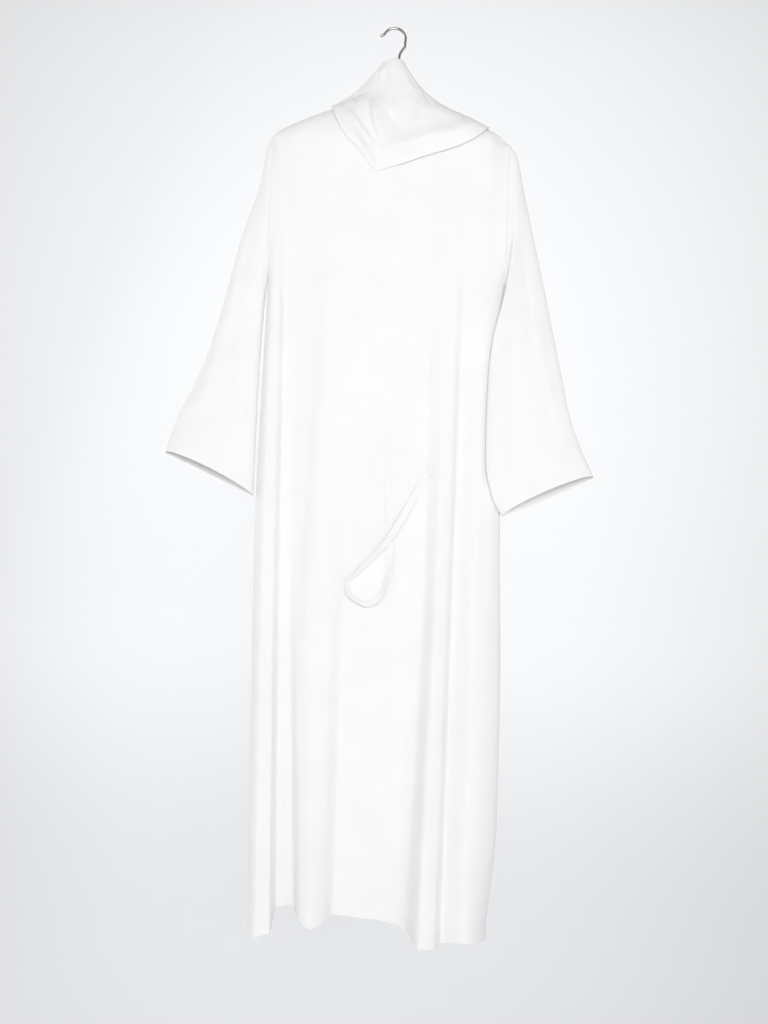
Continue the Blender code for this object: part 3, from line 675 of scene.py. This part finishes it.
def dressSleeve(name, sleeve):
    points, side = sleevePoints(sleeve)
    outward = normalsOf(points, True)
    middle = points[:, :-1].mean(1)[:, None]
    outward *= np.sign(((points - middle) * outward).sum())
    x, z = np.abs(points[..., 0]), points[..., 2]
    rise = creaseHeight(x, z, sleeve["creases"])
    behind = [
        (*ends, sleevePlan["behindWider"] * width, sleevePlan["behindHeight"] * height, bow)
        for *ends, width, height, bow in sleeve["creases"]
    ]
    rise = np.where(side > 0, rise, creaseHeight(x, z + sleevePlan["behindLower"], behind))
    rise = rise * ease(np.abs(side) / sleevePlan["edgeFade"])
    rise = withSlack(rise, points, sleevePlan["slack"], sleeve["seed"])
    lengthDown = np.cumsum(np.linalg.norm(np.diff(points, axis=0), axis=2).mean(1))
    fromSeam = np.concatenate([[0], lengthDown])[:, None]
    fromCuff = fromSeam[-1] - fromSeam
    dip = seams["armholeDip"] * bell(fromSeam, seams["armholeDipWide"]) * ease(fromSeam / seams["armholeDipFrom"])
    rise = rise * ease(fromSeam / seams["armholeStill"]) - dip
    rise = withTurnedEdge(rise, fromCuff, cloth["cuffTurn"], seams["cuffGrooveWide"])
    points = points + outward * rise[..., None]
    sleeve["points"], sleeve["outward"] = points, outward
    sleeve["fromEdge"] = np.broadcast_to(fromCuff, points.shape[:2])
    return clothMesh(name, points, closed=True)


for name, sleeve in sleeves.items():
    piece = dressSleeve(name + "_cloth", sleeve)
    finishPiece(piece, [name], crepe)
    print(name, "made,", len(piece.data.polygons), "faces")


# Attached scarf, wound round the hanger's neck and draped over the chest

scarf = {
    "topX": -2, "topZ": -54, "topRadius": 19, "topTilt": 7, "left": -102, "right": 165,
    "frontEdge": (
        (-102, -133), (-95, -155), (-86, -173), (-75, -191), (-53, -212), (-36, -235), (-23, -249), (-3, -243),
        (23, -235), (49, -225), (75, -216), (102, -207), (128, -195), (147, -182), (158, -171), (165, -163),
    ),
    "backEdge": ((-102, -133), (-60, -180), (0, -200), (60, -196), (120, -179), (165, -163)),
    "sagRight": 23, "sagLeft": 10, "depthTop": 12.5, "depthLow": 33, "depthCurve": 0.7,
    "lift": 2.1, "stand": 1.5, "edgeStand": 3.5, "edgeStandFrom": 0.7,
    "clearOver": 3, "clearBefore": 16,
    "foldHeight": 5, "foldFront": 0.02, "foldSide": 136, "foldSpread": 36,
    "lipAt": 0.84, "lipWide": 0.08, "lipHeight": 4.5,
    "closeShare": 0.93, "edgeGap": (0.5, 2.8), "gapFrom": -25, "gapOver": 60,
    "wave": (
        (0, 0), (0.10, 0.35), (0.19, 0.05), (0.30, 0.3), (0.42, 0.4), (0.55, 0.7), (0.70, 0.6), (0.84, 0.2), (1, 0),
    ),
    "rows": 152, "columns": 300, "thick": 0.55, "flat": (0.62, 0.24), "area": 0.058,
    "seed": 33.0, "slack": ((0.8, 26, 0), (0.4, 11, 4)),
    "hemHeight": 0.35, "hemWide": 0.008,
    "tuckRows": 8, "tuckGap": 4.2, "tuckDrop": 4, "tuckPleats": 11, "pleatHeight": 0.9, "stemX": 9,
    "behindHeight": 0.6, "behindX": 20,
    # start x z, end x z, bow, height, breadth on the lower left, breadth on the upper right
    "folds": (
        (-33, -128, -12, -204, -5, 6.0, 4.2, 14),
        (-72, -148, -33, -208, -1, 4.2, 7, 6),
        (-10, -146, 15, -184, 1, -2.6, 5, 5),
        (37, -129, 38.6, -168, 0.5, -1.7, 1.5, 1.5),
        (40, -128, 41.5, -169, 0.5, 1.2, 1.6, 4),
        (26, -82, 42, -104, 0, -1.6, 5, 4), (50, -104, 66, -138, 1, -1.7, 5, 5),
        (-26, -90, -21, -72, 2, -1.5, 1.6, 1.6), (-20, -86, -14, -71, 2, 1.3, 2, 3),
        (-64, -112, -61, -134, 0, -1.8, 2, 2),
        (-34, -84, -18, -126, 0, -1.5, 7, 7), (-12, -66, -2, -112, 2, 1.1, 3.5, 6),
        (118, -148, 130, -163, 0, -1.2, 4, 4),
        (10, -120, 60, -150, 3, 0.8, 7, 9), (60, -150, 116, -178, 2, -0.7, 9, 9),
        (-8, -206, 40, -214, 2, 0.8, 8, 8),
    ),
}


def scarfPoints(angle, down):
    across, forward = np.cos(angle), np.sin(angle)
    left, right = scarf["left"], scarf["right"]
    edgeX = (right + left) / 2 + (right - left) / 2 * across
    edgeZ = np.where(forward >= 0, smoothTable(scarf["frontEdge"], edgeX), smoothTable(scarf["backEdge"], edgeX))
    topX = scarf["topX"] + scarf["topRadius"] * across
    x = topX + (edgeX - topX) * down
    # sags most a third of the way down on the right, and half way on the left
    sag = scarf["sagRight"] * np.maximum(across, 0) ** 2 * 6.75 * down * (1 - down) ** 2
    sag = sag + scarf["sagLeft"] * np.maximum(-across, 0) ** 2 * np.sin(np.pi * down)
    topEnd = scarf["topZ"] - scarf["topTilt"] * np.maximum(-across, 0)
    z = topEnd + (edgeZ - topEnd) * down - sag
    cone = scarf["depthTop"] + (scarf["depthLow"] - scarf["depthTop"]) * down ** scarf["depthCurve"]
    cone = cone * np.abs(forward)
    lifted = z - scarf["lift"] - scarf["stand"]
    # clear of the shoulder: at once where the cloth turns to the back, slowly where it hangs in front
    fall = shoulderLine(x) - lifted
    atOnce = np.clip(fall / scarf["clearOver"], 0, 1)
    slowly = ease((fall + scarf["clearBefore"]) / (scarf["clearOver"] + scarf["clearBefore"]))
    clear = np.maximum(atOnce, slowly * ease(np.abs(forward) / 0.4))
    edgeStand = scarf["edgeStand"] * ease((down - scarf["edgeStandFrom"]) / 0.3)
    stand = scarf["lift"] + scarf["stand"] + edgeStand * np.maximum(forward, 0)
    chest = np.where(forward >= 0, clothDepth(frontFolds, x, lifted), clothDepth(backFolds, x, lifted))
    depth = (cone**6 + (chest + stand * clear) ** 6) ** (1 / 6)
    leftFront = bell(np.degrees(angle) - scarf["foldSide"], scarf["foldSpread"]) * ease(np.abs(forward) / 0.6)
    wave = scarf["foldHeight"] * smoothTable(scarf["wave"], down)
    depth = depth + wave * (leftFront + scarf["foldFront"] * np.maximum(forward, 0))
    # above its free edge the cloth swells, and then falls back to the chest
    depth = depth + scarf["lipHeight"] * bell(down - scarf["lipAt"], scarf["lipWide"]) * np.maximum(forward, 0)
    close = scarf["closeShare"] * ease((down - scarf["lipAt"]) / 0.16) * np.abs(forward) ** 0.5
    gapLeft, gapRight = scarf["edgeGap"]
    gap = (gapRight - gapLeft) * ease((x - scarf["gapFrom"]) / scarf["gapOver"])
    depth = depth + (chest + gapLeft + gap - depth) * close
    return np.stack([x, -np.copysign(depth, forward), z], 2)


def foldHeight(x, z, folds):
    # folds with a steep and a gentle side
    total = np.zeros(np.shape(x))
    for *ends, bow, height, steep, gentle in folds:
        along, off = besideLine(x, z, ends, bow)
        total += height * endFade(along, 0.1, 0.4) * bell(off, np.where(off < 0, steep, gentle))
    return total


def gathered(ring, angle):
    # the cloth's upper end, drawn in round the hook's stem in small pleats
    inward = np.linspace(1, 0, scarf["tuckRows"], endpoint=False)[:, None]
    x, y, z = ring.T
    share = (1 - scarf["tuckGap"] / np.hypot(x - scarf["stemX"], y)) * inward
    # the second sine makes the pleats unlike each other
    pleats = scarf["pleatHeight"] * np.sin(scarf["tuckPleats"] * angle + 1.6 * np.sin(2 * angle + 0.7))
    return np.stack([
        x + (scarf["stemX"] - x) * share,
        y * (1 - share),
        z + (z.mean() - z) * share - scarf["tuckDrop"] * inward**2 + pleats * np.sin(np.pi * inward**0.6),
    ], 2)


def dressScarf():
    angle = (2 * np.pi * np.arange(scarf["columns"] + 1) / scarf["columns"])[None]
    down = np.linspace(0, 1, scarf["rows"])[:, None]
    points = scarfPoints(angle + 0 * down, down)
    outward = normalsOf(points, True)
    outward *= np.sign(-(outward[..., 1] * np.sin(angle)).sum())
    x, z = points[..., 0], points[..., 2]
    behind = [
        (*ends, bow, scarf["behindHeight"] * height, steep, gentle)
        for *ends, bow, height, steep, gentle in scarf["folds"]
    ]
    frontShare = np.sin(angle) / 0.25 + 0.15
    rise = foldHeight(x, z, scarf["folds"]) * ease(frontShare)
    rise = rise + foldHeight(scarf["behindX"] - x, z, behind) * ease(-frontShare)
    rise = withSlack(rise, points, scarf["slack"], scarf["seed"])
    # the free edge turns in a little and has a narrow rolled hem
    rise = rise * ease(0.3 + (1 - down) * 7) + scarf["hemHeight"] * bell(1 - down, scarf["hemWide"])
    points = points + outward * rise[..., None]
    points = np.concatenate([gathered(points[0], angle[0]), points])
    return clothMesh("scarf_cloth", points, closed=True, thick=scarf["thick"])


piece = dressScarf()
finishPiece(piece, ["scarf_drape", "scarf_neck"], crepe)
print("scarf made,", len(piece.data.polygons), "faces")

# Narrow tie that hangs in a loop at the waist

tie = {
    "width": 11.6, "thick": 1.3, "step": 2.2, "across": 9, "clear": 0.3, "passes": 6, "flat": (0.013, 0.56),
    "endShare": 0.4, "endLong": 12,
    # share of the length, and how far the band turns about its length, in degrees
    "roll": (
        (0, 0), (0.2, 4), (0.32, 32), (0.43, 42), (0.5, 50), (0.58, 30), (0.65, 42), (0.71, 28), (0.76, 4),
        (0.85, 0), (1, 0),
    ),
    # x, z, and how far it stands off the front
    "path": (
        (91, -729, 0), (62, -783, 0.5), (36, -832, 2.6), (18, -862, 2.8), (-4, -889, 1), (-30, -917, 0),
        (-47, -936, 0), (-45, -950, 0), (-31, -962, 0), (-13, -969, 0), (4, -960, 0), (15, -940, 0),
        (21, -913, 0), (22, -872, 0), (18, -811, 0), (14, -744, 0),
    ),
}


def frontSurface():
    trees = []
    for name in ("front_left", "front_right"):
        mesh = panels[name]["piece"].data
        corners = [vertex.co.copy() for vertex in mesh.vertices]
        trees.append(BVHTree.FromPolygons(corners, [tuple(face.vertices) for face in mesh.polygons]))
    return trees


def surfaceAt(trees, x, z):
    # the nearest cloth at a place, also where the ray falls between the two fronts
    hits = []
    for aside in (-0.5, 0, 0.5):
        start = Vector(((x + aside) * mm, -0.2, z * mm))
        hits += [tree.ray_cast(start, Vector((0, 1, 0)))[0] for tree in trees]
    return min(hit.y for hit in hits if hit) / mm


def makeTie():
    trees = frontSurface()
    path = np.array(tie["path"], float)
    length = np.linalg.norm(np.diff(path[:, :2], axis=0), axis=1).sum()
    count = int(length / tie["step"])
    share = np.linspace(0, 1, count)
    x, z, lift = smoothPath(path, share)
    way = np.stack([np.gradient(x), np.gradient(z)], 1)
    way /= np.linalg.norm(way, axis=1, keepdims=True)
    roll = np.radians(smoothTable(tie["roll"], share))
    points, raised = [], []
    for k in range(count):
        row = []
        fromEnd = min(k, count - 1 - k) * tie["step"]
        taper = tie["endShare"] + (1 - tie["endShare"]) * ease(fromEnd / tie["endLong"])
        for offset in np.linspace(-0.5, 0.5, tie["across"]) * taper:
            aside = offset * tie["width"] * math.cos(roll[k])
            px, pz = x[k] - way[k, 1] * aside, z[k] + way[k, 0] * aside
            y = surfaceAt(trees, px, pz) - tie["thick"] / 2 - tie["clear"] - lift[k]
            row.append((px, y, pz))
            raised.append((0.5 - offset) * tie["width"] * math.sin(roll[k]))
        points.append(row)
    points = np.array(points)
    for _ in range(tie["passes"]):
        points[1:-1, :, 1] = (points[:-2, :, 1] + 2 * points[1:-1, :, 1] + points[2:, :, 1]) / 4
    points[:, :, 1] -= np.array(raised).reshape(count, tie["across"])
    tie["points"] = points
    return clothMesh("tie_cloth", points, thick=tie["thick"])


piece = makeTie()
finishPiece(piece, ["tie"], crepe)
print("tie made")

# Stitching at the hems, the cuffs and the tie's two ends

stitch = {
    "sides": 6, "endGap": 0.6, "ahead": 0.5, "leastSize": 0.25, "proud": 0.12, "tackProud": 0.05,
    # share of the length, size and height of each ring of a thread
    "rings": ((0.0, 0.0, -0.30), (0.18, 0.8, 0.02), (0.5, 1.0, 0.10), (0.82, 0.8, 0.02), (1.0, 0.0, -0.30)),
    "tackRows": (3, 6, -4, -7),
}


def readAlong(at, t, values):
    return np.stack([np.interp(at, t, values[:, axis]) for axis in range(3)], 1)


def stitchRow(line, outward):
    # small bent threads end to end along a line on the cloth
    long, sides, endGap = cloth["stitchLong"], stitch["sides"], stitch["endGap"]
    t = np.concatenate([[0], np.cumsum(np.linalg.norm(np.diff(line, axis=0), axis=1))])
    starts = np.arange(endGap, t[-1] - long - endGap, long + cloth["stitchGap"])
    rings = []
    for share, size, height in stitch["rings"]:
        at = starts + share * long
        place = readAlong(at, t, line)
        up = readAlong(at, t, outward)
        up /= np.linalg.norm(up, axis=1, keepdims=True)
        aside = np.cross(readAlong(at + stitch["ahead"], t, line) - place, up)
        aside /= np.maximum(np.linalg.norm(aside, axis=1, keepdims=True), 1e-9)
        reach = 0.5 * cloth["stitchWide"] * max(size, stitch["leastSize"])
        for turn in range(sides):
            angle = 2 * math.pi * turn / sides
            rings.append(place + up * (height + reach * math.sin(angle)) + aside * reach * math.cos(angle))
    points = np.stack(rings, 1)
    faces = []
    for ring in range(len(stitch["rings"]) - 1):
        for turn in range(sides):
            a, b = ring * sides + turn, ring * sides + (turn + 1) % sides
            faces.append((a, b, b + sides, a + sides))
    every = (np.arange(len(starts))[:, None, None] * points.shape[1] + np.array(faces)[None]).reshape(-1, 4)
    return points.reshape(-1, 3), every


def meshObject(name, corners, faces):
    mesh = bpy.data.meshes.new(name)
    mesh.from_pydata(corners, [], faces)
    thing = bpy.data.objects.new(name, mesh)
    bpy.context.collection.objects.link(thing)
    return thing


def addStitches(name, rows):
    points, faces, used = [], [], 0
    for line, outward in rows:
        corners, quads = stitchRow(line, outward)
        points.append(corners)
        faces.append(quads + used)
        used += len(corners)
    row = meshObject(name, (np.concatenate(points) * mm).tolist(), np.concatenate(faces).tolist())
    row.data.shade_smooth()
    row.data.materials.append(thread)
    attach(row, "root")
    print(name, "made,", len(row.data.polygons), "faces")


def turnLine(piece, turn):
    # the line at the height of the turned edge, just proud of the cloth
    points, outward, fromEdge = piece["points"], piece["outward"], piece["fromEdge"]
    line, normals = [], []
    for column in range(points.shape[1]):
        above = fromEdge[::-1, column]
        for found, source in ((line, points), (normals, outward)):
            found.append([np.interp(turn, above, source[::-1, column, axis]) for axis in range(3)])
    line, normals = np.array(line), np.array(normals)
    return line + normals * (cloth["thick"] / 2 + stitch["proud"]), normals


def tackLines():
    # two short rows across each sewn end of the tie
    rows = []
    for k in stitch["tackRows"]:
        line = tie["points"][k].copy()
        line[:, 1] -= tie["thick"] / 2 + stitch["tackProud"]
        rows.append((line, np.tile((0.0, -1.0, 0.0), (len(line), 1))))
    return rows


addStitches("hem_stitches", [turnLine(panel, cloth["hemTurn"]) for panel in panels.values()])
addStitches("cuff_stitches", [turnLine(sleeve, cloth["cuffTurn"]) for sleeve in sleeves.values()])
addStitches("tie_stitches", tackLines())
# Hanger

hook = {
    "radius": 18.8, "wire": 2.1, "start": 152, "end": -16, "tip": (-23.5, -12.5), "knee": (18.4, -27.5),
    "stemX": 9, "stemBendZ": -43, "stemFootZ": -84, "arcSteps": 40, "steps": 110, "tipShare": 0.75,
}


def makeHook():
    centreZ = -(hook["radius"] - hook["wire"])
    points = [hook["tip"]]
    for i in range(hook["arcSteps"] + 1):
        angle = math.radians(hook["start"] + (hook["end"] - hook["start"]) * i / hook["arcSteps"])
        points.append((hook["radius"] * math.cos(angle), centreZ + hook["radius"] * math.sin(angle)))
    knee, foot = Vector(hook["knee"]), Vector((hook["stemX"], hook["stemBendZ"]))
    points += [tuple(knee)] + [tuple(knee.lerp(foot, share)) for share in (0.2, 0.85)]
    points += [(hook["stemX"], hook["stemBendZ"] - 4), (hook["stemX"], hook["stemFootZ"])]
    spread = smoothPath(points, np.linspace(0, 1, hook["steps"]))
    curve = bpy.data.curves.new("hookWire", "CURVE")
    curve.dimensions = "3D"
    curve.bevel_depth = hook["wire"] * mm
    curve.bevel_resolution = 6
    curve.use_fill_caps = True
    spline = curve.splines.new("POLY")
    spline.points.add(len(spread[0]) - 1)
    for point, x, z in zip(spline.points, *spread):
        point.co = (x * mm, 0, z * mm, 1)
    spline.points[0].radius = hook["tipShare"]
    wire = bpy.data.objects.new("hook_wire", curve)
    bpy.context.collection.objects.link(wire)
    bpy.ops.object.select_all(action="DESELECT")
    wire.select_set(True)
    bpy.context.view_layer.objects.active = wire
    bpy.ops.object.convert(target="MESH")
    weldActive()
    bpy.ops.object.shade_smooth_by_angle(angle=math.radians(40))
    return wire


finishPiece(makeHook(), ["hanger_hook"], chrome)
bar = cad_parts["hanger_body"]
bar.data.materials.clear()
bar.data.materials.append(plastic)
print("hanger made")

# Stage, light and camera

studio = {
    "floorZ": -2.6, "wallY": 3.3, "half": 7.0, "bendRadius": 1.6, "bendSteps": 24, "top": 5.0,
    # the low colour and the two heights under it paint shade on the wall, darker towards the floor
    "wallColour": (0.86, 0.865, 0.87), "paintedShadeColour": (0.72, 0.725, 0.735), "lowZ": -2.5, "highZ": -1.35,
    "wallRoughness": 0.95,
    "world": (0.985, 0.99, 1.0), "worldStrength": 0.61,
    "ceilingX": 2.6, "ceilingY": (-3, 1.0), "ceilingZ": 1.5, "ceilingColour": (0.25, 0.25, 0.26),
}
# name, place, looks at, size, watts
lights = (
    ("key", (0.25, -3.3, -0.2), (0, 0, -0.85), 1.3, 52),
    ("fill", (-2.1, -2.2, -0.4), (0, 0, -0.8), 2.0, 10),
    ("side", (2.3, -1.9, -0.5), (0, 0, -0.8), 2.0, 8),
    ("back", (-2.5, 1.2, 0.1), (0, 0, -0.8), 1.2, 24),
    ("wallWash", (0, 1.2, -0.1), (0, studio["wallY"], -0.1), 4.8, 39),
)
view = {"place": (0.010, -1.72, -0.815), "lens": 35.8, "sensor": 36, "roll": -2.0}


def makeSweep():
    # floor, bend and wall in one sweep
    half, bend, steps = studio["half"], studio["bendRadius"], studio["bendSteps"]
    profile = [(-half, studio["floorZ"])]
    for i in range(steps + 1):
        turn = math.pi / 2 * i / steps
        y = studio["wallY"] - bend * (1 - math.sin(turn))
        profile.append((y, studio["floorZ"] + bend * (1 - math.cos(turn))))
    profile.append((studio["wallY"], studio["top"]))
    corners = [(side * half, y, z) for y, z in profile for side in (-1, 1)]
    faces = [(2 * k, 2 * k + 1, 2 * k + 3, 2 * k + 2) for k in range(len(profile) - 1)]
    sweep = meshObject("sweep", corners, faces)
    sweep.data.shade_smooth()
    material, tree, shader = newMaterial("paleWall")
    shader.inputs["Roughness"].default_value = studio["wallRoughness"]
    # painted shade: the wall is coloured a little darker towards the floor, as if less light reached it there
    height = tree.nodes.new("ShaderNodeSeparateXYZ")
    tree.links.new(objectPlace(tree), height.inputs["Vector"])
    share = mathNode(tree, "SUBTRACT", height.outputs["Z"], studio["lowZ"])
    share = mathNode(tree, "DIVIDE", share, studio["highZ"] - studio["lowZ"])
    tones = addTones(tree, shader, share, studio["paintedShadeColour"], studio["wallColour"])
    tones.interpolation = "EASE"
    sweep.data.materials.append(material)


def makeCeiling():
    # dull and out of the picture; it shades the shoulders and shows in the chrome
    half, (near, far), z = studio["ceilingX"], studio["ceilingY"], studio["ceilingZ"]
    corners = [(-half, near, z), (half, near, z), (half, far, z), (-half, far, z)]
    ceiling = meshObject("ceiling", corners, [(0, 1, 2, 3)])
    ceiling.visible_camera = False
    dull, tree, shader = newMaterial("dullCeiling")
    shader.inputs["Base Color"].default_value = (*studio["ceilingColour"], 1)
    ceiling.data.materials.append(dull)


def areaLight(name, place, target, size, power):
    light = bpy.data.lights.new(name, "AREA")
    light.shape = "DISK"
    light.size = size
    light.energy = power
    lamp = bpy.data.objects.new(name, light)
    lamp.location = place
    lamp.rotation_euler = (Vector(target) - Vector(place)).to_track_quat("-Z", "Y").to_euler()
    lamp.visible_camera = False
    bpy.context.collection.objects.link(lamp)


def makeLight():
    world = bpy.data.worlds.new("studio")
    world.use_nodes = True
    background = world.node_tree.nodes["Background"]
    background.inputs["Color"].default_value = (*studio["world"], 1)
    background.inputs["Strength"].default_value = studio["worldStrength"]
    bpy.context.scene.world = world
    for light in lights:
        areaLight(*light)


def makeCamera():
    camera = bpy.data.cameras.new("camera")
    camera.lens = view["lens"]
    camera.sensor_width = view["sensor"]
    holder = bpy.data.objects.new("camera", camera)
    holder.location = view["place"]
    holder.rotation_euler = (math.radians(90), math.radians(view["roll"]), 0)
    bpy.context.collection.objects.link(holder)
    bpy.context.scene.camera = holder
    bpy.context.scene.view_settings.view_transform = "Standard"


makeSweep()
makeCeiling()
makeLight()
makeCamera()
print("stage, light and camera ready")
